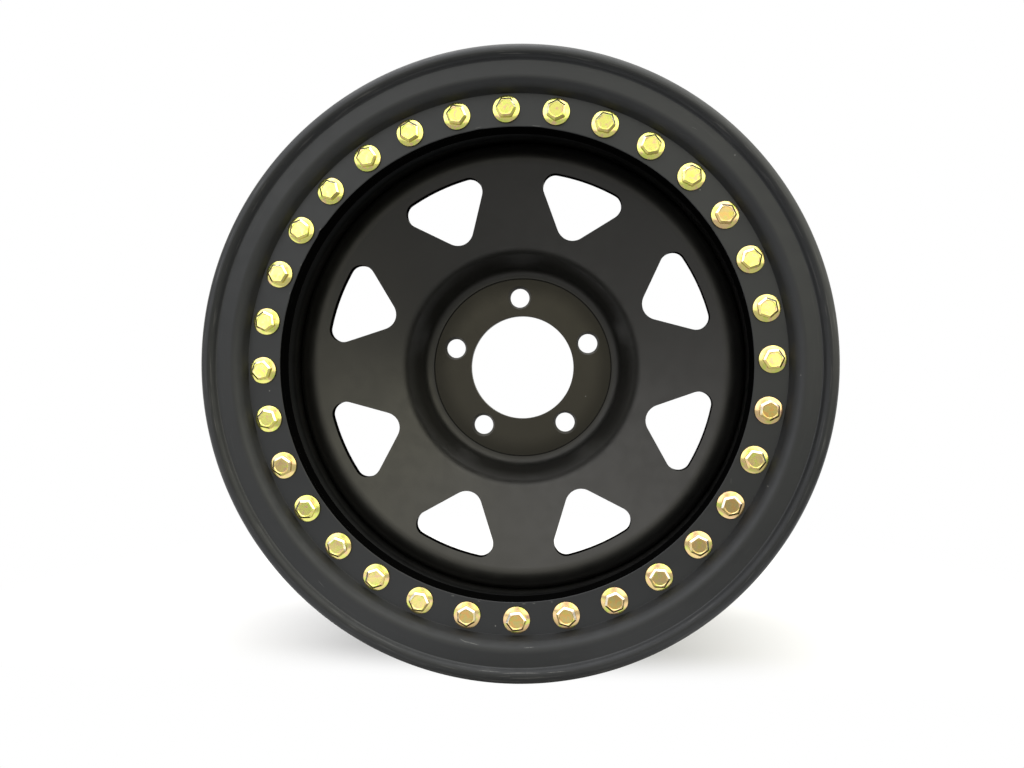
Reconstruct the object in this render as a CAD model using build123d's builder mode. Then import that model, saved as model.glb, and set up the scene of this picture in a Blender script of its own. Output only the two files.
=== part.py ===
from build123d import *
import math
import os

# Beadlock wheel for off-road use: a rolled steel rim with a pressed centre, and a clamp ring that is
# bolted over the outboard tyre bead. Sizes are in millimetres and degrees.
# The origin is the centre of the hub face. The axle lies along Y, outboard is -Y and up is +Z.
# An "out" value is a distance outboard of the hub face. Angles run clockwise from the top, seen from outboard.

# Rim barrel: a 15 by 7 inch J profile whose centre plane stands outboard of the hub face
rim_diameter = 380.2
rim_width = 177.8
rim_outset = 30.4
flange_height = 17.5
flange_width = 13.0
flange_curl_radius = 9.5
bead_seat_taper = 5.0
bead_seat_width = 17.0
barrel_thickness = 3.4
well_depth = 17.2
well_length = 58.0
slope_length = 20.0
collar_length = 16.0
collar_inset = 1.5
valve_hole_diameter = 11.5
valve_angle = 178.25

# Pressed centre
disc_thickness = 6.0
hub_bore_diameter = 84.0
hub_pad_radius = 72.4
hub_pad_recess = 0.8
hub_foot_radius = 9.0
hub_wall_angle = 27.0
hub_wall_depth = 25.8
hub_brow_radius = 14.0
cone_angle = 26.0
shoulder_radius = 12.7
skirt_depth = 48.0
disc_fit_clearance = 0.1
lug_count = 5
lug_circle_diameter = 114.3
lug_hole_diameter = 15.6
lug_seat_diameter = 19.0
lug_seat_angle = 60.0
lug_start_angle = -2.0
window_count = 8
window_start_angle = 20.75
window_hub_margin = 13.9
window_edge_margin = 22.2
window_side_angle = 41.7
window_inner_corner = 12.8
window_outer_corner = 9.0

# Inner bead ring, turned from plate, tapped for the bolts and welded to the barrel
anchor_land_thickness = 6.0
anchor_stop_thickness = 6.0
anchor_inner_margin = 11.3
anchor_height = 15.9
register_clearance = 0.6
register_draft = 2.0

# Outer clamp ring, pressed from plate
clamp_thickness = 6.0
clamp_inner_margin = 11.8
clamp_land_margin = 10.7
clamp_rise = 9.2
clamp_slope_angle = 64.0
clamp_brow_radius = 8.5
lip_height = 12.9
lip_width = 10.7
lip_angle = 55.0
lip_roll_radius = 5.3

# Ring bolts: M8 hex flange bolts. Their round forms are drawn with a few flats, for there are many of them
bolt_count = 32
bolt_inset = 16.2
bolt_start_angle = -1.165
bolt_diameter = 8.0
bolt_length = 20.0
bolt_hole_clearance = 0.5
bolt_flange_diameter = 18.6
bolt_flange_thickness = 1.5
bolt_flange_side_count = 12
bolt_shank_side_count = 8
bolt_head_height = 5.5
bolt_hex_width = 12.5
bolt_turn_step = 37.0
thread_clearance = 0.1

# Bends of the sheet pieces are drawn as equal flats that turn by no more than this angle
bend_flat_angle = 65.0

# Weld beads
weld_leg = 5.0
disc_weld_arc = 27.0

# Radii and out values that follow from the sizes above
bead_seat_radius = rim_diameter / 2
inboard_face_out = rim_outset - rim_width / 2
outboard_face_out = rim_outset + rim_width / 2
register_radius = bead_seat_radius - register_clearance
bolt_circle_radius = register_radius - bolt_inset

clamp_back_out = outboard_face_out - clamp_rise
clamp_front_out = clamp_back_out + clamp_thickness
clamp_shoulder_out = outboard_face_out + clamp_thickness

anchor_back_out = clamp_back_out - anchor_land_thickness
stop_back_out = anchor_back_out - anchor_stop_thickness
anchor_inner_radius = bolt_circle_radius - anchor_inner_margin
anchor_outer_radius = bead_seat_radius + anchor_height

collar_radius = register_radius - collar_inset
slope_out = stop_back_out - collar_length
well_outboard_out = slope_out - slope_length
well_inboard_out = well_outboard_out - well_length
well_radius = bead_seat_radius - well_depth
well_inner_radius = well_radius - barrel_thickness

hub_corner_radius = hub_pad_radius + hub_foot_radius * math.tan(math.radians(90 - hub_wall_angle) / 2)
brow_radius = hub_corner_radius + hub_wall_depth * math.tan(math.radians(hub_wall_angle))
brow_out = disc_thickness + hub_wall_depth
disc_edge_radius = well_inner_radius - disc_fit_clearance
shoulder_out = brow_out + (disc_edge_radius - brow_radius) * math.tan(math.radians(cone_angle))
disc_edge_out = shoulder_out - skirt_depth

# Sections are drawn as radius and out value, and revolved about the axle
section_plane = Plane(origin=(0, 0, 0), x_dir=(1, 0, 0), z_dir=(0, 0, -1))


def front_plane(out):
    """Plane across the axle at an out value, seen from outboard with X to the right and Z up."""
    return Plane.XZ.offset(out)


def bent_line(corners, bends):
    """Points of a line with a rounded bend at each inner corner, every bend divided into flats."""
    with BuildLine() as line:
        FilletPolyline(*corners, radius=bends)
    edges = line.wire().order_edges()
    points = [edges[0] @ 0]
    for edge in edges:
        turn = (edge % 0).get_angle(edge % 1)
        flats = max(1, math.ceil(turn / bend_flat_angle))
        points += [edge @ (number / flats) for number in range(1, flats + 1)]
    return points


def sheet_section(corners, bends, thickness):
    """Section of a bent sheet: one face as a bent line, thickened towards inboard and the axle."""
    face = bent_line(corners, bends)
    ways = [(end - start).normalized() for start, end in zip(face, face[1:])]
    normals = [Vector(way.Y, -way.X) for way in ways]
    mitres = [(one + two) / (1 + one.dot(two)) for one, two in zip(normals, normals[1:])]
    steps = [normals[0], *mitres, normals[-1]]
    back = [point + step * thickness for point, step in zip(face, steps)]
    with BuildSketch(section_plane) as section:
        with BuildLine():
            Polyline(*face, *reversed(back), close=True)
        make_face()
    return section.sketch


# Rim barrel, from the collar behind the inner bead ring to the edge of the inboard flange
seat_fall = math.tan(math.radians(bead_seat_taper))
barrel_face = [
    (collar_radius, stop_back_out),
    (collar_radius, slope_out),
    (well_radius, well_outboard_out),
    (well_radius, well_inboard_out),
    (bead_seat_radius - bead_seat_width * seat_fall, inboard_face_out + bead_seat_width),
    (bead_seat_radius, inboard_face_out),
    (bead_seat_radius + flange_height, inboard_face_out),
    (bead_seat_radius + flange_height, inboard_face_out - flange_width),
]
barrel_bends = [0, 0, 0, 0, 0, flange_curl_radius]
barrel_section = sheet_section(barrel_face, barrel_bends, barrel_thickness)

# The valve hole stands square to the middle of the outboard slope
slope_angle = math.atan2(collar_radius - well_radius, slope_length)
valve_radius = (collar_radius + well_radius) / 2
valve_out = (slope_out + well_outboard_out) / 2
valve_way = Vector(math.sin(math.radians(valve_angle)), 0, math.cos(math.radians(valve_angle)))
valve_plane = Plane(
    origin=valve_way * valve_radius + Vector(0, -valve_out, 0),
    z_dir=valve_way * math.cos(slope_angle) + Vector(0, math.sin(slope_angle), 0),
)

with BuildPart() as rim_barrel:
    revolve(barrel_section, axis=Axis.Y)
    with BuildSketch(valve_plane):
        Circle(valve_hole_diameter / 2)
    extrude(amount=2 * barrel_thickness, both=True, mode=Mode.SUBTRACT)

# Pressed centre: hub pad, hub wall, cone with windows, and an edge turned back into the well
disc_face = [
    (hub_bore_diameter / 2, disc_thickness),
    (hub_corner_radius, disc_thickness),
    (brow_radius, brow_out),
    (disc_edge_radius, shoulder_out),
    (disc_edge_radius, disc_edge_out),
]
disc_bends = [hub_foot_radius, hub_brow_radius, shoulder_radius]
disc_section = sheet_section(disc_face, disc_bends, disc_thickness)

# One window, drawn pointing up: two straight sides from a rounded inner corner, closed by an arc about the axle
side_angle = math.radians(window_side_angle)
window_inner_radius = brow_radius + window_hub_margin
window_outer_radius = disc_edge_radius - window_edge_margin
window_apex = window_inner_radius - window_inner_corner * (1 / math.sin(side_angle) - 1)
side_reach = math.sqrt(window_outer_radius**2 - (window_apex * math.sin(side_angle)) ** 2)
side_length = side_reach - window_apex * math.cos(side_angle)
side_x = side_length * math.sin(side_angle)
side_y = window_apex + side_length * math.cos(side_angle)
with BuildSketch() as window:
    with BuildLine():
        Polyline((-side_x, side_y), (0, window_apex), (side_x, side_y))
        ThreePointArc((side_x, side_y), (0, window_outer_radius), (-side_x, side_y))
    make_face()
    fillet(window.vertices().sort_by(Axis.Y)[0], window_inner_corner)
    fillet(window.vertices().sort_by(Axis.X)[0], window_outer_corner)
    fillet(window.vertices().sort_by(Axis.X)[-1], window_outer_corner)

hub_pad_out = disc_thickness - hub_pad_recess
with BuildPart() as wheel_disc:
    revolve(disc_section, axis=Axis.Y)
    with BuildSketch(front_plane(hub_pad_out)):
        Circle(hub_pad_radius)
    extrude(amount=disc_thickness, mode=Mode.SUBTRACT)
    with BuildSketch(front_plane(0)):
        with PolarLocations(0, window_count, start_angle=-window_start_angle):
            add(window.sketch)
    extrude(amount=shoulder_out, mode=Mode.SUBTRACT)
    with Locations(front_plane(hub_pad_out)):
        with PolarLocations(lug_circle_diameter / 2, lug_count, start_angle=90 - lug_start_angle):
            CounterSinkHole(lug_hole_diameter / 2, lug_seat_diameter / 2, counter_sink_angle=lug_seat_angle)

# Weld beads between the back edge of the centre and the wall of the well, one behind each spoke
with BuildPart() as disc_weld:
    with BuildSketch(section_plane):
        with BuildLine():
            Polyline(
                (well_inner_radius, disc_edge_out),
                (well_inner_radius, disc_edge_out - weld_leg),
                (well_inner_radius - weld_leg, disc_edge_out),
                close=True,
            )
        make_face()
    revolve(axis=Axis.Y, revolution_arc=disc_weld_arc)

spoke_pitch = 360 / window_count
first_weld_turn = window_start_angle + spoke_pitch / 2 - 90 - disc_weld_arc / 2
with BuildPart() as disc_welds:
    for number in range(window_count):
        with Locations(Rotation(0, first_weld_turn + number * spoke_pitch, 0)):
            add(disc_weld.part)

# Inner bead ring: bolt land with tapped holes, conical bead register and bead stop
with BuildPart() as anchor_ring:
    with BuildSketch(section_plane):
        with BuildLine():
            Polyline(
                (anchor_inner_radius, stop_back_out),
                (anchor_inner_radius, clamp_back_out),
                (register_radius - register_draft, clamp_back_out),
                (register_radius, anchor_back_out),
                (anchor_outer_radius, anchor_back_out),
                (anchor_outer_radius, stop_back_out),
                close=True,
            )
        make_face()
    revolve(axis=Axis.Y)
    with BuildSketch(front_plane(stop_back_out)):
        with PolarLocations(bolt_circle_radius, bolt_count, start_angle=90 - bolt_start_angle):
            RegularPolygon(bolt_diameter / 2 + thread_clearance, bolt_shank_side_count, major_radius=False)
    extrude(amount=anchor_land_thickness + anchor_stop_thickness, mode=Mode.SUBTRACT)

# Outer clamp ring: flat land under the bolt heads, slope, bead shoulder and a solid lip with a rolled edge
clamp_land_radius = bolt_circle_radius + clamp_land_margin
clamp_brow = clamp_land_radius + clamp_rise / math.tan(math.radians(clamp_slope_angle))
lip_foot = bead_seat_radius + lip_height
lip_edge = lip_foot + lip_width
lip_peak_out = clamp_shoulder_out + lip_width * math.tan(math.radians(lip_angle))
clamp_face = [
    (bolt_circle_radius - clamp_inner_margin, clamp_front_out),
    (clamp_land_radius, clamp_front_out),
    (clamp_brow, clamp_shoulder_out),
    (lip_foot, clamp_shoulder_out),
]
clamp_section = sheet_section(clamp_face, [0, clamp_brow_radius], clamp_thickness)
lip_face = [
    (lip_foot, clamp_shoulder_out),
    (lip_edge, lip_peak_out),
    (lip_edge, outboard_face_out),
]
with BuildSketch(section_plane) as lip_section:
    with BuildLine():
        Polyline(*bent_line(lip_face, [lip_roll_radius]), (lip_foot, outboard_face_out), close=True)
    make_face()

with BuildPart() as clamp_ring:
    revolve(clamp_section, axis=Axis.Y)
    revolve(lip_section.sketch, axis=Axis.Y)
    with BuildSketch(front_plane(clamp_back_out)):
        with PolarLocations(bolt_circle_radius, bolt_count, start_angle=90 - bolt_start_angle):
            RegularPolygon(bolt_diameter / 2 + bolt_hole_clearance, bolt_shank_side_count, major_radius=False)
    extrude(amount=clamp_thickness, mode=Mode.SUBTRACT)

# One flange bolt along the axle, with the seat of its flange at the origin
with BuildPart() as bolt:
    with BuildSketch(front_plane(0)):
        RegularPolygon(bolt_flange_diameter / 2, bolt_flange_side_count)
    extrude(amount=bolt_flange_thickness)
    with BuildSketch(front_plane(bolt_flange_thickness)):
        RegularPolygon(bolt_hex_width / 2, 6, major_radius=False)
    extrude(amount=bolt_head_height - bolt_flange_thickness)
    with BuildSketch(front_plane(0)):
        RegularPolygon(bolt_diameter / 2, bolt_shank_side_count)
    extrude(amount=-bolt_length)

# Every head stopped at its own angle when it came tight
with BuildPart() as ring_bolts:
    for number in range(bolt_count):
        angle = math.radians(bolt_start_angle + number * 360 / bolt_count)
        seat = (bolt_circle_radius * math.sin(angle), -clamp_front_out, bolt_circle_radius * math.cos(angle))
        with Locations(Location(seat, (0, number * bolt_turn_step, 0))):
            add(bolt.part)

pieces = {
    "rim_barrel": rim_barrel,
    "wheel_disc": wheel_disc,
    "disc_welds": disc_welds,
    "anchor_ring": anchor_ring,
    "clamp_ring": clamp_ring,
    "ring_bolts": ring_bolts,
}
os.makedirs("parts", exist_ok=True)
for name, piece in pieces.items():
    piece.part.label = name
    export_step(piece.part, f"parts/{name}.step")
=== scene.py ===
import math

import bmesh
import bpy
from mathutils import Matrix, Vector


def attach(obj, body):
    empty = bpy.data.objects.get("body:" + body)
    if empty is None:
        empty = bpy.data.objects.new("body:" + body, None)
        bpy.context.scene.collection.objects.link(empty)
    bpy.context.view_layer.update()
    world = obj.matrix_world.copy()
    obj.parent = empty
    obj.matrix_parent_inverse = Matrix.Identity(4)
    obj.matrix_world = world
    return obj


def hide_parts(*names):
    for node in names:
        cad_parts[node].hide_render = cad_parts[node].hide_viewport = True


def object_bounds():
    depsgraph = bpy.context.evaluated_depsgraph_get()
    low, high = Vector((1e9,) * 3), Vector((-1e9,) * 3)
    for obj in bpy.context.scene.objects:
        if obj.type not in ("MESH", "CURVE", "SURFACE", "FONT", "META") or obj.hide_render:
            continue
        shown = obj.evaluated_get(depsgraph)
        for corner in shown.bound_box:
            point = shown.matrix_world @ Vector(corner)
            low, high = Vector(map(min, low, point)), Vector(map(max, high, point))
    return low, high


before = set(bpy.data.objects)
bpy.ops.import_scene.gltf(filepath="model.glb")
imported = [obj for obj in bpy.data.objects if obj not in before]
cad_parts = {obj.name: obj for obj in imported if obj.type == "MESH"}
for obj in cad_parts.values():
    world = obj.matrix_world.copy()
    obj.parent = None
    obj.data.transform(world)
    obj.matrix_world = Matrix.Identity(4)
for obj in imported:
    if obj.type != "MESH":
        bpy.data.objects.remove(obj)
cad_low, cad_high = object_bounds()

# Sizes in millimetres and degrees. "out" is the distance outboard of the hub face, which is -Y.
# Angles run clockwise from the top, seen from outboard. Corners are radius, out and rounding.
MM = 0.001
TURN_STEPS = 360
BEND_STEP = 7.5
SHARP_ANGLE = 25.0
CUT_OVERRUN = 5.0
BOLT_HOLE_STEPS = 16

# Outer clamp ring
CLAMP_THICKNESS = 6.0
CLAMP_BORE_RADIUS = 161.5
CLAMP_LAND_OUT = 116.1
SLOPE_FOOT_RADIUS = 184.0
SLOPE_TOP_RADIUS = 188.49
SHOULDER_OUT = 125.3
LIP_START_RADIUS = 203.0
LIP_EDGE_RADIUS = 213.7
CLAMP_FACE = [
    (CLAMP_BORE_RADIUS, CLAMP_LAND_OUT, 0.5),
    (SLOPE_FOOT_RADIUS, CLAMP_LAND_OUT, 0.12),
    (SLOPE_TOP_RADIUS, SHOULDER_OUT, 8.5),
    (LIP_START_RADIUS, SHOULDER_OUT, 0.8),
]
CLAMP_LIP = [(LIP_EDGE_RADIUS, 140.5, 5.3), (LIP_EDGE_RADIUS, 119.3, 1.5)]
# Nicks in the edge of the ring's bore: angle, half width in degrees and depth
BORE_NICKS = [(305.0, 1.4, 0.9), (295.5, 1.1, 0.35), (288.0, 1.2, 0.35), (352.0, 2.1, 0.3), (6.0, 3.1, 0.35)]

# Rim barrel
BARREL_THICKNESS = 3.4
BARREL_FACE = [
    (188.0, 98.1, 0.0),
    (188.0, 82.1, 8.0),
    (172.9, 62.1, 8.0),
    (172.9, 4.1, 12.0),
    (188.61, -41.5, 5.0),
    (190.1, -58.5, 6.5),
    (207.6, -58.5, 9.5),
    (207.6, -71.5, 1.2),
]
VALVE_ANGLE = 178.25
VALVE_RADIUS = 5.75
VALVE_STEPS = 32

# Pressed centre
DISC_THICKNESS = 6.0
DISC_EDGE_RADIUS = 169.4
PAD_RADIUS = 72.4
PAD_OUT = 5.2
BORE_RADIUS = 42.0
DISC_FACE = [
    (BORE_RADIUS, DISC_THICKNESS, 0.0),
    (77.9, DISC_THICKNESS, 8.9),
    (91.05, 31.8, 14.0),
    (DISC_EDGE_RADIUS, 70.0, 12.7),
    (DISC_EDGE_RADIUS, 22.0, 0.8),
]
LUG_COUNT = 5
LUG_CIRCLE_RADIUS = 57.15
LUG_START = -2.0
LUG_HOLE_RADIUS = 7.8
LUG_SEAT_RADIUS = 9.5
LUG_SEAT_DEPTH = 2.9
LUG_STEPS = 48
WINDOW_COUNT = 8
WINDOW_START = 20.75
WINDOW_INNER_RADIUS = 104.95
WINDOW_OUTER_RADIUS = 147.2
WINDOW_SIDE_ANGLE = 41.7
WINDOW_INNER_CORNER = 12.8
WINDOW_OUTER_CORNER = 9.0
WINDOW_CUT_ENDS = (0.0, 90.0)

# Inner ring
ANCHOR_LOOP = [
    (162.0, 98.1, 0.4),
    (162.0, 110.1, 0.4),
    (187.5, 110.1, 0.6),
    (189.5, 104.1, 0.4),
    (206.0, 104.1, 0.8),
    (206.0, 98.1, 0.8),
]
TAPPED_RADIUS = 4.05

# Weld beads
BEAD_COUNT = 8
BEAD_STEPS = 120
BEAD_START = 43.25
BEAD_SPREAD = 27.0
BEAD_LEG = 5.0
BEAD_CORNER = (169.5, 22.0)
RIPPLE_ANGLE = 1.35
RIPPLE_DEPTH = 0.14
BEAD_BULGE = 0.4
BEAD_TAPER_ANGLE = 3.0
BEAD_PARTS = (0.0, 0.17, 0.33, 0.5, 0.67, 0.83, 1.0)

# Wear marks on the coat of the clamp ring: angle, radius, length, width and turn from the radius
WEAR_MARKS = [
    (117.9, 165.7, 4.6, 0.28, 62.0),
    (115.3, 186.9, 1.1, 0.7, 0.0),
    (305.3, 162.6, 3.0, 0.7, 90.0),
    (6.0, 162.4, 8.0, 0.5, 90.0),
    (352.0, 163.0, 5.0, 0.4, 84.0),
    (295.5, 162.2, 2.0, 0.6, 90.0),
    (288.0, 162.2, 2.4, 0.6, 90.0),
    (283.0, 176.0, 2.0, 0.22, 35.0),
    (38.0, 196.0, 5.0, 0.25, 80.0),
    (221.0, 197.5, 7.0, 0.3, 97.0),
    (188.0, 189.2, 12.0, 0.6, 94.0),
    (189.8, 188.7, 6.0, 0.5, 104.0),
    (176.3, 189.6, 8.0, 0.5, 88.0),
    (178.0, 205.2, 30.0, 0.5, 90.0),
    (171.5, 205.8, 14.0, 0.4, 92.0),
    (184.0, 205.0, 18.0, 0.4, 89.0),
    (194.3, 163.0, 2.4, 1.0, 80.0),
    (187.9, 162.7, 2.0, 0.9, 90.0),
    (177.0, 162.6, 3.0, 0.8, 90.0),
    (174.6, 162.6, 2.2, 0.8, 90.0),
    (170.3, 162.9, 1.6, 1.0, 0.0),
]

# Ring bolts. Profiles are radius and height over the seat of the flange
BOLT_COUNT = 32
BOLT_CIRCLE_RADIUS = 173.3
BOLT_START = -1.165
BOLT_TURN_STEP = 37.0
BOLT_HOLE_RADIUS = 4.5
BOLT_STEPS = 48
FLANGE_PROFILE = [(3.0, 0.0), (9.15, 0.0), (9.3, 0.2), (9.3, 0.8), (9.05, 1.2), (7.2, 1.95), (5.0, 2.3)]
SHANK_RADIUS = 4.0
SHANK_END = -20.0
THREAD_PITCH = 1.25
THREAD_DEPTH = 0.55
THREAD_LENGTH = 4.0
THREAD_STEPS = 16
THREAD_ROWS = 6
THREAD_TAPER = 0.6
THREAD_RUNOUT = 0.5
HEX_FOOT = 1.2
HEX_WIDTH = 12.5
HEX_CORNER_RADIUS = 7.05
HEX_BEVEL_WIDTH = 1.3
HEX_BEVEL_DEPTH = 0.95
HEAD_HEIGHT = 5.5
HEAD_DISH = [(4.85, 0.0), (4.5, -0.4), (0.5, -0.4)]
DISH_OUT = CLAMP_LAND_OUT + HEAD_HEIGHT + HEAD_DISH[-1][1]
WARM_ANGLE = 140.0
WARM_SHARE = 0.4
SCATTER_SHARE = 0.3


def place(radius, out, angle):
    """Point of the row frame, in metres, at a radius, an out value and a clockwise angle."""
    turn = math.radians(angle)
    return Vector((radius * math.sin(turn), -out, radius * math.cos(turn))) * MM


def turns(count, start=0.0):
    """Angles of an even pattern round the axle."""
    return [start + number * 360.0 / count for number in range(count)]


def rounded(corners):
    """Closed outline through corners given as x, y and rounding, each rounding as an arc of short steps."""
    points = []
    for index, (x, y, radius) in enumerate(corners):
        here = Vector((x, y))
        before = Vector(corners[index - 1][:2])
        after = Vector(corners[(index + 1) % len(corners)][:2])
        way_in = (here - before).normalized()
        way_out = (after - here).normalized()
        turn = -way_in.angle_signed(way_out, 0.0)
        if radius <= 0 or abs(turn) < 1e-4:
            points.append(here)
            continue
        side = math.copysign(1.0, turn)
        start = here - way_in * radius * math.tan(abs(turn) / 2)
        spoke = Vector((way_in.y, -way_in.x)) * radius * side
        centre = start - spoke
        steps = max(2, math.ceil(math.degrees(abs(turn)) / BEND_STEP))
        points += [centre + Matrix.Rotation(turn * step / steps, 2) @ spoke for step in range(steps + 1)]
    return points


def sheet_back(face, thickness):
    """Corners of a bent sheet's back, from its end to its start, towards inboard and the axle."""
    points = [Vector(corner[:2]) for corner in face]
    ways = [(end - start).normalized() for start, end in zip(points, points[1:])]
    normals = [Vector((way.y, -way.x)) for way in ways]
    back = []
    for index, (point, corner) in enumerate(zip(points, face)):
        one = normals[max(index - 1, 0)]
        two = normals[min(index, len(normals) - 1)]
        shifted = point + (one + two) / (1 + one.dot(two)) * thickness
        rounding = corner[2]
        if one is not two:
            bends_back = one.cross(two) < 0
            rounding = max(0.0, rounding - thickness) if bends_back else rounding + thickness
        back.append((shifted.x, shifted.y, rounding))
    return back[::-1]


def finish_mesh(name, builder):
    """Piece from a bmesh, smooth but for its sharp edges."""
    mesh = bpy.data.meshes.new(name)
    builder.to_mesh(mesh)
    builder.free()
    mesh.shade_smooth()
    mesh.set_sharp_from_angle(angle=math.radians(SHARP_ANGLE))
    piece = bpy.data.objects.new(name, mesh)
    bpy.context.scene.collection.objects.link(piece)
    return piece


def bridge(builder, one, two):
    """Band of faces between two rows of vertices that run round."""
    for index in range(len(one)):
        after = (index + 1) % len(one)
        builder.faces.new((one[index], two[index], two[after], one[after]))


def lathe(name, loop):
    """Ring from a closed clockwise loop of radius and out, turned about the axle."""
    builder = bmesh.new()
    rows = []
    for angle in turns(TURN_STEPS):
        rows.append([builder.verts.new(place(point.x, point.y, angle)) for point in loop])
    for index in range(TURN_STEPS):
        bridge(builder, rows[index - 1], rows[index])
    return finish_mesh(name, builder)


def stack(builder, rows):
    """Closed body in a bmesh from rows of points, clockwise seen from the last row, with flat ends."""
    made = [[builder.verts.new(point) for point in row] for row in rows]
    for one, two in zip(made, made[1:]):
        bridge(builder, one, two)
    builder.faces.new(made[0])
    builder.faces.new(made[-1][::-1])


def turned_rows(profile, steps):
    """Rows of points for a profile of radius and height, turned about -Y."""
    return [[place(radius, height, angle) for angle in turns(steps)] for radius, height in profile]


def moved(rows, shift, turn=0.0):
    """Rows turned clockwise about the axle by an angle, then shifted."""
    rotation = Matrix.Rotation(math.radians(turn), 3, "Y")
    return [[rotation @ point + shift for point in row] for row in rows]


def cut(piece, cutter):
    """Takes the cutter's space out of a piece and removes the cutter."""
    modifier = piece.modifiers.new("cut", "BOOLEAN")
    modifier.operation = "DIFFERENCE"
    modifier.solver = "MANIFOLD"
    modifier.object = cutter
    graph = bpy.context.evaluated_depsgraph_get()
    made = bpy.data.meshes.new_from_object(piece.evaluated_get(graph))
    piece.modifiers.clear()
    piece.data = made
    made.shade_smooth()
    made.set_sharp_from_angle(angle=math.radians(SHARP_ANGLE))
    bpy.data.objects.remove(cutter)
    even = piece.modifiers.new("even_normals", "WEIGHTED_NORMAL")
    even.keep_sharp = True


def window_outline():
    """Clockwise window pointing up: a rounded inner corner, straight sides, and an arc about the axle."""
    side = math.radians(WINDOW_SIDE_ANGLE)
    way = Vector((math.sin(side), math.cos(side)))
    inward = Vector((-way.y, way.x))
    inner = Vector((0.0, WINDOW_INNER_RADIUS + WINDOW_INNER_CORNER))
    apex = inner - Vector((0.0, WINDOW_INNER_CORNER / math.sin(side)))
    start = apex + inward * WINDOW_OUTER_CORNER
    along = start.dot(way)
    reach = WINDOW_OUTER_RADIUS - WINDOW_OUTER_CORNER
    outer = start + way * (math.sqrt(along**2 - start.length_squared + reach**2) - along)
    spread = math.atan2(outer.x, outer.y)
    square = math.pi / 2 - side
    arcs = [
        (inner, WINDOW_INNER_CORNER, 0.0, square, 10),
        (outer, WINDOW_OUTER_CORNER, square, math.pi - spread, 16),
        (Vector((0.0, 0.0)), WINDOW_OUTER_RADIUS, math.pi - spread, math.pi, 12),
    ]
    half = []
    for centre, radius, low, high, steps in arcs:
        for step in range(steps + 1):
            turn = low + (high - low) * step / steps
            half.append(centre + Vector((math.sin(turn), -math.cos(turn))) * radius)
    half = [point for point, after in zip(half, half[1:]) if (after - point).length > 1e-6] + half[-1:]
    return [Vector((-point.x, point.y)) for point in half] + half[-2:0:-1]


def nick_bore(mesh):
    """Pushes the outboard edge of the clamp ring's bore outwards at each nick."""
    for vertex in mesh.vertices:
        radius = math.hypot(vertex.co.x, vertex.co.z) / MM
        angle = math.degrees(math.atan2(vertex.co.x, vertex.co.z))
        if radius < CLAMP_BORE_RADIUS + 1 and -vertex.co.y / MM > CLAMP_LAND_OUT - 2:
            for middle, half_width, depth in BORE_NICKS:
                off = abs((angle - middle + 180) % 360 - 180)
                scale = 1 + depth * max(0.0, 1 - off / half_width) / radius
                vertex.co.x *= scale
                vertex.co.z *= scale


def build_clamp_ring():
    back = sheet_back(CLAMP_FACE, CLAMP_THICKNESS)
    piece = lathe("clamp_ring_shown", rounded([*CLAMP_FACE, *CLAMP_LIP, *back]))
    nick_bore(piece.data)
    holes = bmesh.new()
    ends = (-2 * CLAMP_THICKNESS, CLAMP_THICKNESS)
    rows = turned_rows([(BOLT_HOLE_RADIUS, out) for out in ends], BOLT_HOLE_STEPS)
    for angle in turns(BOLT_COUNT, BOLT_START):
        stack(holes, moved(rows, place(BOLT_CIRCLE_RADIUS, CLAMP_LAND_OUT, angle)))
    cut(piece, finish_mesh("clamp_holes", holes))
    return piece


def build_rim_barrel():
    back = sheet_back(BARREL_FACE, BARREL_THICKNESS)
    piece = lathe("rim_barrel_shown", rounded([*BARREL_FACE, *back]))
    start, end = Vector(BARREL_FACE[1][:2]), Vector(BARREL_FACE[2][:2])
    middle = (start + end) / 2
    slope = math.atan2(start.x - end.x, start.y - end.y)
    ends = (-3 * BARREL_THICKNESS, 3 * BARREL_THICKNESS)
    rows = turned_rows([(VALVE_RADIUS, height) for height in ends], VALVE_STEPS)
    tip = Matrix.Rotation(math.radians(-90) + slope, 3, "X")
    tipped = [[tip @ point for point in row] for row in rows]
    hole = bmesh.new()
    stack(hole, moved(tipped, place(middle.x, middle.y, VALVE_ANGLE), VALVE_ANGLE))
    cut(piece, finish_mesh("valve_cutter", hole))
    return piece


def build_wheel_disc():
    pad = [(BORE_RADIUS, PAD_OUT, 0.5), (PAD_RADIUS, PAD_OUT, 0.15), (PAD_RADIUS, DISC_THICKNESS, 0.0)]
    back = sheet_back(DISC_FACE, DISC_THICKNESS)
    piece = lathe("wheel_disc_shown", rounded([*pad, *DISC_FACE[1:], *back]))
    holes = bmesh.new()
    outline = window_outline()
    rows = [[Vector((point.x, -out, point.y)) * MM for point in outline] for out in WINDOW_CUT_ENDS]
    for angle in turns(WINDOW_COUNT, WINDOW_START):
        stack(holes, moved(rows, Vector(), angle))
    seat_slope = (LUG_SEAT_RADIUS - LUG_HOLE_RADIUS) / LUG_SEAT_DEPTH
    profile = [
        (LUG_HOLE_RADIUS, -CUT_OVERRUN),
        (LUG_HOLE_RADIUS, PAD_OUT - LUG_SEAT_DEPTH),
        (LUG_SEAT_RADIUS + seat_slope, PAD_OUT + 1.0),
    ]
    rows = turned_rows(profile, LUG_STEPS)
    for angle in turns(LUG_COUNT, LUG_START):
        stack(holes, moved(rows, place(LUG_CIRCLE_RADIUS, 0.0, angle)))
    cut(piece, finish_mesh("disc_cutter", holes))
    return piece


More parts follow.
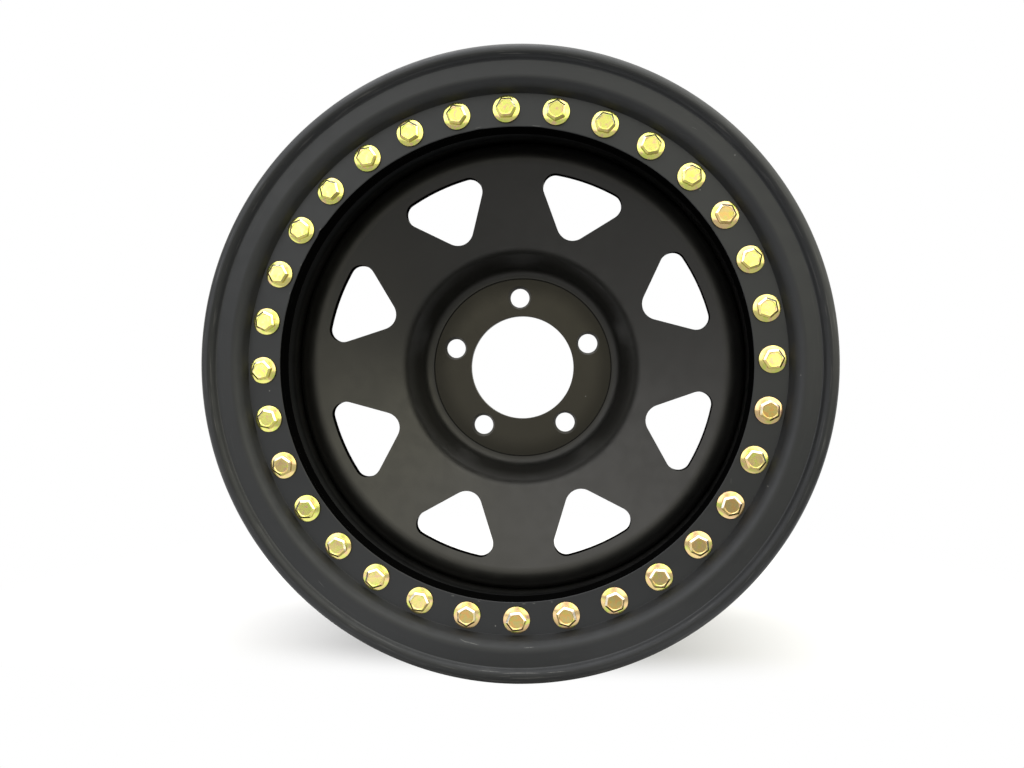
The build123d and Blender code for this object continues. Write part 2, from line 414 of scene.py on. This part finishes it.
def build_anchor_ring():
    piece = lathe("anchor_ring_shown", rounded(ANCHOR_LOOP))
    holes = bmesh.new()
    ends = (ANCHOR_LOOP[0][1] - CUT_OVERRUN, ANCHOR_LOOP[1][1] + CUT_OVERRUN)
    rows = turned_rows([(TAPPED_RADIUS, out) for out in ends], BOLT_HOLE_STEPS)
    for angle in turns(BOLT_COUNT, BOLT_START):
        stack(holes, moved(rows, place(BOLT_CIRCLE_RADIUS, 0.0, angle)))
    cut(piece, finish_mesh("anchor_holes", holes))
    return piece


def bead_row(angle, from_end):
    """Section of a weld bead: a corner between disc and barrel closed by a bulging, rippled face."""
    corner = Vector(BEAD_CORNER)
    ripple = abs(math.sin(math.pi * angle / RIPPLE_ANGLE))
    taper = min(1.0, 0.5 + from_end / BEAD_TAPER_ANGLE)
    leg = BEAD_LEG * (1 - RIPPLE_DEPTH + RIPPLE_DEPTH * ripple) * taper
    start, end = corner - Vector((0.0, leg)), corner - Vector((leg, 0.0))
    points = [corner]
    for part in BEAD_PARTS:
        bulge = Vector((-1.0, -1.0)) * leg * BEAD_BULGE * part * (1 - part) * (0.5 + 0.5 * ripple)
        points.append(start.lerp(end, part) + bulge)
    return [place(point.x, point.y, angle) for point in points]


def build_disc_welds():
    builder = bmesh.new()
    for middle in turns(BEAD_COUNT, BEAD_START):
        rows = []
        for step in range(BEAD_STEPS + 1):
            part = step / BEAD_STEPS
            from_end = BEAD_SPREAD * min(part, 1 - part)
            rows.append(bead_row(middle + BEAD_SPREAD * (part - 0.5), from_end))
        stack(builder, rows)
    return finish_mesh("disc_welds_shown", builder)


def thread_rows():
    """Rows of a shank: a helical thread on its free end, plain above it."""
    rows = []
    count = round(THREAD_ROWS * THREAD_LENGTH / THREAD_PITCH)
    for level in range(count + 1):
        rise = level * THREAD_LENGTH / count
        taper = max(0.0, THREAD_TAPER - rise)
        row = []
        for step, angle in enumerate(turns(THREAD_STEPS)):
            phase = rise / THREAD_PITCH + step / THREAD_STEPS
            depth = abs(2 * (phase % 1.0) - 1) * THREAD_DEPTH
            row.append(place(SHANK_RADIUS - depth - taper, SHANK_END + rise, angle))
        rows.append(row)
    plain = [(SHANK_RADIUS, SHANK_END + THREAD_LENGTH + THREAD_RUNOUT), (SHANK_RADIUS, 0.0)]
    return rows + turned_rows(plain, THREAD_STEPS)


def hex_rows():
    """Rows of a hex head: straight sides with a bevelled top edge, and a shallow round dish in the top."""
    angles = turns(BOLT_STEPS)
    rims = []
    for angle in angles:
        off_flat = math.radians((angle + 30.0) % 60.0 - 30.0)
        rims.append(min(HEX_WIDTH / 2 / math.cos(off_flat), HEX_CORNER_RADIUS))
    levels = [(0.0, HEX_FOOT), (0.0, HEAD_HEIGHT - HEX_BEVEL_DEPTH), (HEX_BEVEL_WIDTH, HEAD_HEIGHT)]
    rows = []
    for inset, height in levels:
        rows.append([place(rim - inset, height, angle) for angle, rim in zip(angles, rims)])
    return rows + turned_rows([(radius, HEAD_HEIGHT + drop) for radius, drop in HEAD_DISH], BOLT_STEPS)


def build_ring_bolts():
    """Bolts with a tint on each: warmer towards the lower right, with some scatter."""
    builder = bmesh.new()
    tint = builder.verts.layers.float.new("tint")
    bodies = [turned_rows(FLANGE_PROFILE, BOLT_STEPS), thread_rows(), hex_rows()]
    done = 0
    for number, angle in enumerate(turns(BOLT_COUNT, BOLT_START)):
        seat = place(BOLT_CIRCLE_RADIUS, CLAMP_LAND_OUT, angle)
        for rows in bodies:
            stack(builder, moved(rows, seat, number * BOLT_TURN_STEP))
        builder.verts.ensure_lookup_table()
        warm = WARM_SHARE * math.cos(math.radians(angle - WARM_ANGLE))
        scatter = SCATTER_SHARE * math.sin(number**2 * 2.4 + number)
        for vertex in builder.verts[done:]:
            vertex[tint] = 0.5 + warm + scatter
        done = len(builder.verts)
    return finish_mesh("ring_bolts_shown", builder)


class Nodes:
    """Short way to add and wire nodes in one material or world."""

    def __init__(self, owner):
        owner.use_nodes = True
        self.tree = owner.node_tree
        self.tree.nodes.clear()

    def add(self, kind, inputs=None, **settings):
        node = self.tree.nodes.new("ShaderNode" + kind)
        for name, value in settings.items():
            setattr(node, name, value)
        for name, value in (inputs or {}).items():
            if isinstance(value, bpy.types.NodeSocket):
                self.tree.links.new(value, node.inputs[name])
            else:
                node.inputs[name].default_value = value
        return node

    def math(self, operation, one, two=0.0):
        return self.add("Math", {0: one, 1: two}, operation=operation).outputs[0]

    def product(self, first, *others):
        for other in others:
            first = self.math("MULTIPLY", first, other)
        return first

    def largest(self, first, *others):
        for other in others:
            first = self.math("MAXIMUM", first, other)
        return first

    def dot(self, one, two):
        return self.add("VectorMath", {0: one, 1: two}, operation="DOT_PRODUCT").outputs["Value"]

    def axes(self, vector):
        return self.add("SeparateXYZ", {0: vector}).outputs

    def facing(self):
        return self.add("NewGeometry").outputs["Normal"]

    def noise(self, vector, scale, detail=2.0):
        return self.add("TexNoise", {"Vector": vector, "Scale": scale, "Detail": detail}).outputs["Fac"]

    def span(self, value, low, high, to_low=0.0, to_high=1.0):
        """Smooth step of a value from one range to another."""
        inputs = {"Value": value, "From Min": low, "From Max": high, "To Min": to_low, "To Max": to_high}
        return self.add("MapRange", inputs, interpolation_type="SMOOTHSTEP").outputs["Result"]

    def mix(self, factor, one, two):
        node = self.add("Mix", {0: factor, 6: one, 7: two}, data_type="RGBA")
        return node.outputs[2]

    def bump(self, height, strength, distance, normal):
        inputs = {"Height": height, "Strength": strength, "Distance": distance, "Normal": normal}
        return self.add("Bump", inputs).outputs["Normal"]

    def soft_edge(self, radius):
        return self.add("Bevel", {"Radius": radius * MM}, samples=4).outputs["Normal"]

    def camera_ray(self):
        return self.add("LightPath").outputs["Is Camera Ray"]

    def plain_rays(self):
        """1 for what the camera sees, straight or in a reflection or through glass."""
        path = self.add("LightPath").outputs
        return self.largest(path["Is Glossy Ray"], path["Is Transmission Ray"], path["Is Camera Ray"])

    def surface(self, shader, kind="Material"):
        output = self.add("Output" + kind)
        self.tree.links.new(shader, output.inputs["Surface"])


class WheelNodes(Nodes):
    """Nodes with the place on the wheel: object coordinates, and radius and out in millimetres."""

    def __init__(self, owner):
        super().__init__(owner)
        self.point = self.add("TexCoord").outputs["Object"]
        axes = self.axes(self.point)
        self.flat = self.add("CombineXYZ", {"X": axes["X"], "Z": axes["Z"]}).outputs[0]
        length = self.add("VectorMath", {0: self.flat}, operation="LENGTH").outputs["Value"]
        self.radius = self.math("DIVIDE", length, MM)
        self.out = self.math("DIVIDE", axes["Y"], -MM)
        self.angle = self.math("ARCTAN2", axes["X"], axes["Z"])


def grey(level):
    return (level, level, level, 1)


# Colours of the coat, of what is worn off it, of the painted shade on its walls and of its sheen
COAT_DARK = (0.005, 0.005, 0.0048, 1)
COAT_LIGHT = (0.008, 0.0079, 0.0074, 1)
COAT_WALL_SHADE = grey(0.002)
RUB_COLOUR = (0.09, 0.088, 0.084, 1)
SPECK_COLOUR = (0.3, 0.3, 0.29, 1)
MARK_COLOUR = (0.13, 0.13, 0.125, 1)
SHEEN_RINGS = (0.92, 0.95, 1.0, 1)
SHEEN_DISC = (1.0, 0.98, 0.93, 1)
SHEEN_PAD = (1.0, 0.93, 0.75, 1)

# Colours of the zinc
ZINC_LEMON = (0.97, 0.94, 0.27, 1)
ZINC_WARM = (0.98, 0.71, 0.35, 1)
FILM_GREEN = (0.8, 0.9, 0.2, 1)
FILM_PINK = (0.97, 0.58, 0.42, 1)
# Painted dark reflection in the dish of the bolts
DISH_REFLECTION_BROWN = (0.6, 0.34, 0.09, 1)
DISH_REFLECTION_OLIVE = (0.45, 0.42, 0.12, 1)
# Painted highlight and painted shade of the hex heads
BEVEL_HIGHLIGHT = (0.97, 0.95, 0.86, 1)
SHADE_BROWN = (0.36, 0.29, 0.09, 1)


def rubs(nodes):
    """Paler streaks round the lip of the clamp ring."""
    streak_inputs = {
        "X": nodes.math("MULTIPLY", nodes.angle, 9.0),
        "Y": nodes.math("MULTIPLY", nodes.radius, 0.9),
        "Z": nodes.math("MULTIPLY", nodes.out, 0.9),
    }
    streaks = nodes.noise(nodes.add("CombineXYZ", streak_inputs).outputs[0], 1.0, 5.0)
    on_lip = nodes.product(
        nodes.span(nodes.radius, SLOPE_TOP_RADIUS + 0.5, LIP_START_RADIUS + 5.5),
        nodes.span(nodes.out, SHOULDER_OUT - 3.3, SHOULDER_OUT + 5.7),
    )
    return nodes.product(nodes.span(streaks, 0.56, 0.74), on_lip)


def specks(nodes):
    """Few small specks, one in some of the cells of a fine pattern."""
    cells = nodes.add("TexVoronoi", {"Vector": nodes.point, "Scale": 95.0, "Randomness": 1.0}).outputs
    cell_value = nodes.add("SeparateColor", {0: cells["Color"]}).outputs[0]
    chosen = nodes.math("GREATER_THAN", cell_value, 0.93)
    return nodes.product(chosen, nodes.span(cells["Distance"], 0.05, 0.035))


def wear_mark(nodes, angle, radius, length, width, turn):
    """Soft streak on the clamp ring, about a place and along a way across the axle."""
    centre = place(radius, 0.0, angle)
    offset = nodes.add("VectorMath", {0: nodes.flat, 1: centre}, operation="SUBTRACT").outputs[0]
    mask = nodes.span(nodes.out, CLAMP_LAND_OUT - 8.1, CLAMP_LAND_OUT - 4.1)
    for way_angle, reach in ((angle + turn, length / 2), (angle + turn + 90, width / 2)):
        shift = nodes.dot(offset, place(1 / MM, 0.0, way_angle))
        shift = nodes.math("ABSOLUTE", shift)
        mask = nodes.product(mask, nodes.span(shift, reach * MM, 0.4 * reach * MM))
    return mask


def painted_wall_shade(nodes, inward):
    """Painted shade on the cut walls of the windows and the ring's bore, and on the inside of the barrel
    behind the ring.
    """
    upright = nodes.math("ABSOLUTE", nodes.axes(nodes.facing())["Y"])
    cut_wall = nodes.product(
        nodes.span(upright, 0.3, 0.1),
        nodes.span(nodes.radius, CLAMP_BORE_RADIUS + 2.0, CLAMP_BORE_RADIUS + 1.3),
        nodes.span(nodes.radius, WINDOW_INNER_RADIUS - 5.0, WINDOW_INNER_RADIUS - 1.0),
        nodes.span(nodes.out, CLAMP_LAND_OUT - 0.2, CLAMP_LAND_OUT - 0.6),
    )
    barrel_inside = nodes.product(
        nodes.span(nodes.radius, DISC_EDGE_RADIUS + 0.3, DISC_EDGE_RADIUS + 1.1),
        nodes.span(nodes.out, CLAMP_LAND_OUT - 4.1, CLAMP_LAND_OUT - 7.1),
        nodes.span(nodes.out, 50.0, 60.0, 0.0, 0.6),
    )
    return nodes.product(nodes.largest(cut_wall, barrel_inside), inward)


def on_hub_pad(nodes):
    return nodes.product(
        nodes.span(nodes.radius, PAD_RADIUS + 0.4, PAD_RADIUS - 0.2),
        nodes.span(nodes.out, PAD_OUT + 1.2, PAD_OUT + 0.5),
    )


def shade(nodes, inward):
    """Painted shade: less sheen on the rim of the hub pad, its step and fillet, and the lip's inner slope.
    """
    pad_rim = nodes.product(on_hub_pad(nodes), nodes.span(nodes.radius, 55.0, PAD_RADIUS - 0.2, 0.0, 0.42))
    step = nodes.product(
        nodes.span(nodes.radius, PAD_RADIUS - 0.5, PAD_RADIUS - 0.1),
        nodes.span(nodes.radius, PAD_RADIUS + 0.9, PAD_RADIUS + 0.4),
        nodes.span(nodes.out, DISC_THICKNESS + 2.5, DISC_THICKNESS + 1.5, 0.0, 0.9),
    )
    fillet = nodes.product(
        nodes.span(nodes.radius, PAD_RADIUS + 0.2, PAD_RADIUS + 0.8),
        nodes.span(nodes.out, DISC_THICKNESS + 7.5, DISC_THICKNESS + 3.5, 0.0, 0.22),
    )
    lip_slope = nodes.product(
        nodes.span(nodes.radius, LIP_START_RADIUS - 0.2, LIP_START_RADIUS + 1.0),
        nodes.span(nodes.radius, LIP_START_RADIUS + 7.0, LIP_START_RADIUS + 5.0),
        nodes.span(nodes.out, SHOULDER_OUT - 0.1, SHOULDER_OUT + 0.9, 0.0, 0.25),
        inward,
    )
    return nodes.largest(pad_rim, step, fillet, lip_slope)


def black_coat():
    """Satin black coat with a fine grain, paler rubs, marks and small specks, and painted shade on cut
    walls, in the barrel, round the hub pad and on the lip's slope.
    """
    material = bpy.data.materials.new("black_coat")
    nodes = WheelNodes(material)
    cloud = nodes.noise(nodes.point, 14.0, 4.0)
    patch = nodes.noise(nodes.point, 90.0, 4.0)
    grain = nodes.noise(nodes.point, 1500.0, 2.0)
    inward = nodes.span(nodes.dot(nodes.facing(), nodes.flat), 0.0, -0.04)
    wall_shade = painted_wall_shade(nodes, inward)

    colour = nodes.mix(nodes.span(cloud, 0.3, 0.7), COAT_DARK, COAT_LIGHT)
    colour = nodes.mix(nodes.product(rubs(nodes), 0.45), colour, RUB_COLOUR)
    colour = nodes.mix(nodes.product(specks(nodes), 0.5), colour, SPECK_COLOUR)
    worn = nodes.span(grain, 0.35, 0.6, 0.25, 0.8)
    for mark in WEAR_MARKS:
        colour = nodes.mix(nodes.product(wear_mark(nodes, *mark), worn), colour, MARK_COLOUR)
    # Painted shade: the cut walls and the barrel behind the ring turn near black
    colour = nodes.mix(wall_shade, colour, COAT_WALL_SHADE)

    on_slope = nodes.product(
        nodes.span(nodes.radius, SLOPE_FOOT_RADIUS - 0.4, SLOPE_FOOT_RADIUS + 0.6),
        nodes.span(nodes.radius, SLOPE_TOP_RADIUS + 2.0, SLOPE_TOP_RADIUS - 0.5),
    )
    roughness = nodes.math("ADD", nodes.span(patch, 0.3, 0.7, 0.39, 0.47), nodes.product(on_slope, 0.18))
    # Painted shade: less sheen round the hub pad and on the lip's inner slope, and none on the shaded walls
    lit = nodes.math("SUBTRACT", 1.0, shade(nodes, inward))
    specular = nodes.product(nodes.span(wall_shade, 0.0, 1.0, 0.6, 0.0), lit)
    on_disc = nodes.product(
        nodes.span(nodes.radius, DISC_EDGE_RADIUS + 1.1, DISC_EDGE_RADIUS - 0.4),
        nodes.span(nodes.out, 90.0, 80.0),
    )
    sheen = nodes.mix(on_disc, SHEEN_RINGS, SHEEN_DISC)
    sheen = nodes.mix(on_hub_pad(nodes), sheen, SHEEN_PAD)
    shader = nodes.add(
        "BsdfPrincipled",
        {
            "Base Color": colour,
            "Roughness": roughness,
            "Normal": nodes.bump(grain, 0.12, 0.15 * MM, nodes.soft_edge(0.35)),
            "Specular IOR Level": specular,
            "Specular Tint": sheen,
        },
    )
    nodes.surface(shader.outputs[0])
    return material


def yellow_zinc():
    """Bright yellow zinc: lemon to warm from bolt to bolt, with green and pink films in patches."""
    material = bpy.data.materials.new("yellow_zinc")
    nodes = WheelNodes(material)
    tint = nodes.add("Attribute", attribute_name="tint").outputs["Fac"]
    cloud = nodes.noise(nodes.point, 190.0, 3.0)
    film = nodes.noise(nodes.point, 330.0, 2.0)
    grain = nodes.noise(nodes.point, 2600.0, 2.0)
    colour = nodes.mix(nodes.span(tint, 0.1, 0.9), ZINC_LEMON, ZINC_WARM)
    colour = nodes.mix(nodes.span(cloud, 0.48, 0.68), colour, FILM_GREEN)
    colour = nodes.mix(nodes.span(film, 0.48, 0.68, 0.0, 0.7), colour, FILM_PINK)

    # Painted dark reflection, brown and olive, in the dish of the warmer bolts
    in_dish = nodes.product(
        nodes.span(nodes.out, DISH_OUT + 0.25, DISH_OUT + 0.1),
        nodes.span(nodes.out, DISH_OUT - 0.4, DISH_OUT - 0.2),
        nodes.span(tint, 0.45, 0.95),
    )
    dish_reflection = nodes.mix(nodes.span(film, 0.4, 0.6), DISH_REFLECTION_BROWN, DISH_REFLECTION_OLIVE)
    colour = nodes.mix(nodes.product(in_dish, 0.8), colour, dish_reflection)

    # Painted highlight, pale, on the bevels that face up; painted shade, brown, on the bevels that face down
    # and on the hex sides
    facing = nodes.axes(nodes.facing())
    outboard = nodes.math("ABSOLUTE", facing["Y"])
    on_bevel = nodes.product(nodes.span(outboard, 0.66, 0.76), nodes.span(outboard, 0.91, 0.87))
    bevel_highlight = nodes.product(on_bevel, nodes.span(facing["Z"], -0.15, 0.2, 0.0, 0.85))
    bevel_shade = nodes.product(on_bevel, nodes.span(facing["Z"], -0.15, -0.45, 0.0, 0.7))
    side_shade = nodes.span(outboard, 0.5, 0.3, 0.0, 0.8)
    colour = nodes.mix(bevel_highlight, colour, BEVEL_HIGHLIGHT)
    colour = nodes.mix(nodes.largest(bevel_shade, side_shade), colour, SHADE_BROWN)
    shader = nodes.add(
        "BsdfPrincipled",
        {
            "Base Color": colour,
            "Metallic": 1.0,
            "Roughness": nodes.span(cloud, 0.2, 0.8, 0.12, 0.2),
            "Normal": nodes.bump(grain, 0.06, 0.1 * MM, nodes.soft_edge(0.25)),
        },
    )
    nodes.surface(shader.outputs[0])
    return material


# White floor, in metres: where it starts to run into plain white, and its shade before that
WHITE_FROM_SEEN = 0.26
WHITE_FROM_MIRRORED = 0.12
PAPER_SEEN = 0.85
PAPER_MIRRORED = 0.38


def white_floor():
    """White floor that keeps the wheel's shadow, and runs into plain white in front and far away."""
    material = bpy.data.materials.new("white_floor")
    nodes = Nodes(material)
    point = nodes.add("TexCoord").outputs["Object"]
    axes = nodes.axes(point)
    distance = nodes.add("VectorMath", {0: point}, operation="LENGTH").outputs["Value"]
    camera_ray = nodes.camera_ray()
    paper_shade = nodes.mix(camera_ray, grey(PAPER_MIRRORED), grey(PAPER_SEEN))
    paper = nodes.add("BsdfDiffuse", {"Color": paper_shade})

    slant = nodes.math("SUBTRACT", axes["Y"], nodes.product(axes["X"], 0.6))
    mirrored = nodes.span(slant, -0.3, -0.42, 1.0, 0.5)
    glow = nodes.add("Emission", {"Color": grey(1), "Strength": nodes.largest(mirrored, camera_ray)})

    later = nodes.product(camera_ray, WHITE_FROM_SEEN - WHITE_FROM_MIRRORED)
    start = nodes.math("ADD", WHITE_FROM_MIRRORED, later)
    far = nodes.product(nodes.span(distance, start, nodes.product(start, 2.0)), nodes.plain_rays())
    in_front = nodes.product(camera_ray, nodes.span(axes["Y"], -0.05, -0.12, 0.3, 1.0))
    white = nodes.largest(far, in_front)
    shader = nodes.add("MixShader", {0: white, 1: paper.outputs[0], 2: glow.outputs[0]})
    nodes.surface(shader.outputs[0])
    return material


coat = black_coat()
zinc = yellow_zinc()
finishes = {"black_coat": coat, "yellow_zinc": zinc}
for name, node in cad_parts.items():
    node.data.materials.clear()
    node.data.materials.append(zinc if name == "ring_bolts" else coat)

builders = {
    "clamp_ring": (build_clamp_ring, "black_coat"),
    "rim_barrel": (build_rim_barrel, "black_coat"),
    "wheel_disc": (build_wheel_disc, "black_coat"),
    "disc_welds": (build_disc_welds, "black_coat"),
    "anchor_ring": (build_anchor_ring, "black_coat"),
    "ring_bolts": (build_ring_bolts, "yellow_zinc"),
}
for node_name, (build, slot) in builders.items():
    piece = build()
    piece.data.materials.clear()
    piece.data.materials.append(finishes[slot])
    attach(piece, "root")
    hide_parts(node_name)

# Floor
bpy.ops.mesh.primitive_plane_add(size=12, location=(0, 0, cad_low.z))
floor = bpy.context.object
floor.name = "floor"
floor.data.materials.append(white_floor())

# Camera
CAMERA_PLACE = Vector((0.04162, -0.64131, -0.00953))
CAMERA_WAY = Vector((-0.07833, 0.99687, -0.00651))
PHOTO_WIDTH = 1024
FOCAL_PIXELS = 775.7
camera_data = bpy.data.cameras.new("camera")
camera_data.sensor_width = 36.0
camera_data.lens = camera_data.sensor_width * FOCAL_PIXELS / PHOTO_WIDTH
camera_data.clip_start = 0.01
camera = bpy.data.objects.new("camera", camera_data)
camera.location = CAMERA_PLACE
camera.rotation_euler = CAMERA_WAY.to_track_quat("-Z", "Y").to_euler()
scene = bpy.context.scene
scene.collection.objects.link(camera)
scene.camera = camera

# Soft lights of a white tent: azimuth from the front to the right, height, strength and warmth
SOFT_LIGHTS = [
    (0, 0, 0.71, 0.5),
    (-40, 0, 0.8, -0.5),
    (40, 0, 0.85, 1.0),
    (-80, 0, 0.3, -0.5),
    (80, 0, 0.67, 0.5),
    (-45, 35, 1.28, -0.5),
    (45, 35, 1.42, 0.5),
    (-95, 35, 0.12, -0.5),
    (95, 35, 0.87, 0.0),
    (0, 25, 0.2, 0.0),
    (0, 65, 1.5, -0.5),
    (180, 65, 0.9, -0.5),
    (-90, 70, 1.3, -0.5),
    (90, 70, 0.95, 0.0),
]
LIGHT_EDGE = math.cos(math.radians(42))
LIGHT_CORE = math.cos(math.radians(6))
BACKDROP_LEVEL = 0.4
LIGHT_COOL = (0.96, 0.96, 1.0, 1)
LIGHT_WARM = (1.0, 0.98, 0.8, 1)


def light_tent(world):
    """World of soft round lights, with a white backdrop behind the wheel."""
    nodes = Nodes(world)
    toward = nodes.add("TexCoord").outputs["Generated"]
    backdrop = nodes.span(nodes.axes(toward)["Y"], 0.0, 0.35)
    level = nodes.product(backdrop, BACKDROP_LEVEL)
    warmth = 0.0
    for azimuth, height, strength, warm in SOFT_LIGHTS:
        side, rise = math.radians(azimuth), math.radians(height)
        way = (math.sin(side) * math.cos(rise), -math.cos(side) * math.cos(rise), math.sin(rise))
        share = nodes.span(nodes.dot(toward, way), LIGHT_EDGE, LIGHT_CORE, 0.0, strength)
        level = nodes.math("ADD", level, share)
        warmth = nodes.math("ADD", warmth, nodes.product(share, warm))
    level = nodes.largest(level, nodes.product(nodes.plain_rays(), backdrop))
    warmth = nodes.math("DIVIDE", warmth, nodes.largest(level, 0.2))
    colour = nodes.mix(nodes.span(warmth, -1.0, 1.0), LIGHT_COOL, LIGHT_WARM)
    camera_ray = nodes.camera_ray()
    seen_level = nodes.add("Mix", {0: camera_ray, 2: level, 3: 1.0}, data_type="FLOAT").outputs[0]
    seen_colour = nodes.mix(camera_ray, colour, grey(1))
    background = nodes.add("Background", {"Color": seen_colour, "Strength": seen_level})
    nodes.surface(background.outputs[0], "World")


scene.world = bpy.data.worlds.new("world")
light_tent(scene.world)
scene.view_settings.view_transform = "Standard"
